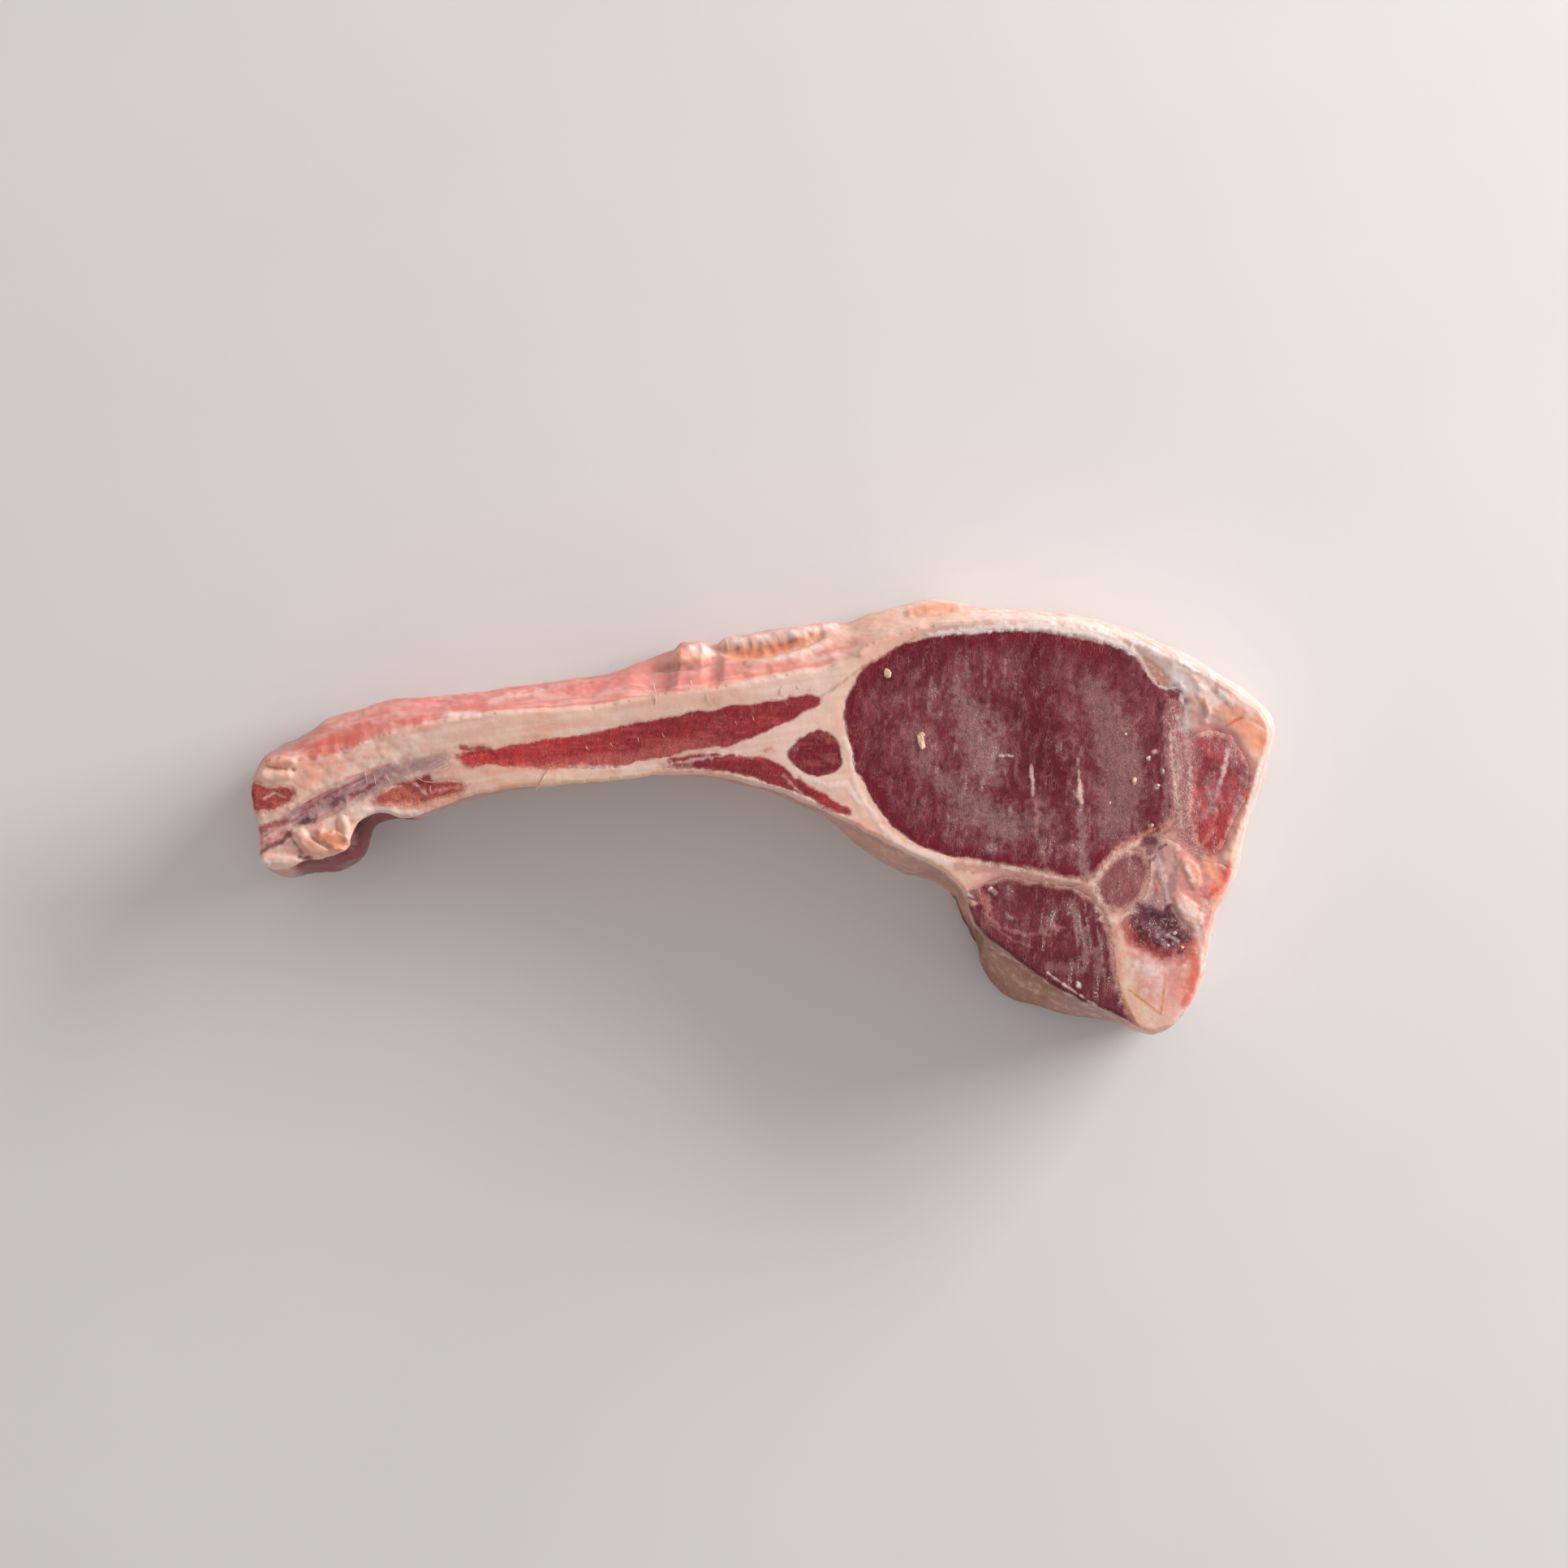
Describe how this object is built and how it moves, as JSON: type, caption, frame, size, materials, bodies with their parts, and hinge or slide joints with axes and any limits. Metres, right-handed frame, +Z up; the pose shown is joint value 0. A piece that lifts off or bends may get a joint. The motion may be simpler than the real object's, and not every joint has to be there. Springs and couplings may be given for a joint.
{
  "type": "raw lamb chop",
  "caption": "Thick raw lamb chop cut straight across the rack, with round eye muscle, fat cap, long tail and split backbone foot, lying flat on a sawn face.",
  "frame": {"origin": "middle of the bounding box at the height of the lower sawn face, on which the chop lies", "axes": "+X along the chop from the tip of the tail to the eye muscle's far side, +Y towards the fat cap, +Z up through the slice"},
  "size_m": [0.1746, 0.0742, 0.0274],
  "materials": {
    "lean_meat": "moist dark red muscle with pale saw streaks",
    "pale_lean": "moist lighter red muscle with fat running through it",
    "fat": "firm cream fat, pink skin on the outer side",
    "membrane": "wet greyish purple muscle sheet under thin membrane",
    "bone": "sawn pale bone and grey cartilage, slightly wet",
    "marrow": "dark red wet marrow"
  },
  "bodies": {
    "root": {"eye_muscle": "lean_meat", "island_muscle": "lean_meat", "rib_muscle": "pale_lean", "inner_muscle": "lean_meat", "back_muscle": "pale_lean", "chine_muscle": "lean_meat", "spinal_muscle": "lean_meat", "vertebra": "bone", "marrow": "marrow", "flank_tip_muscle": "pale_lean", "flank_sheet": "membrane", "flank_muscle": "pale_lean", "fat": "fat"}
  },
  "joints": []
}
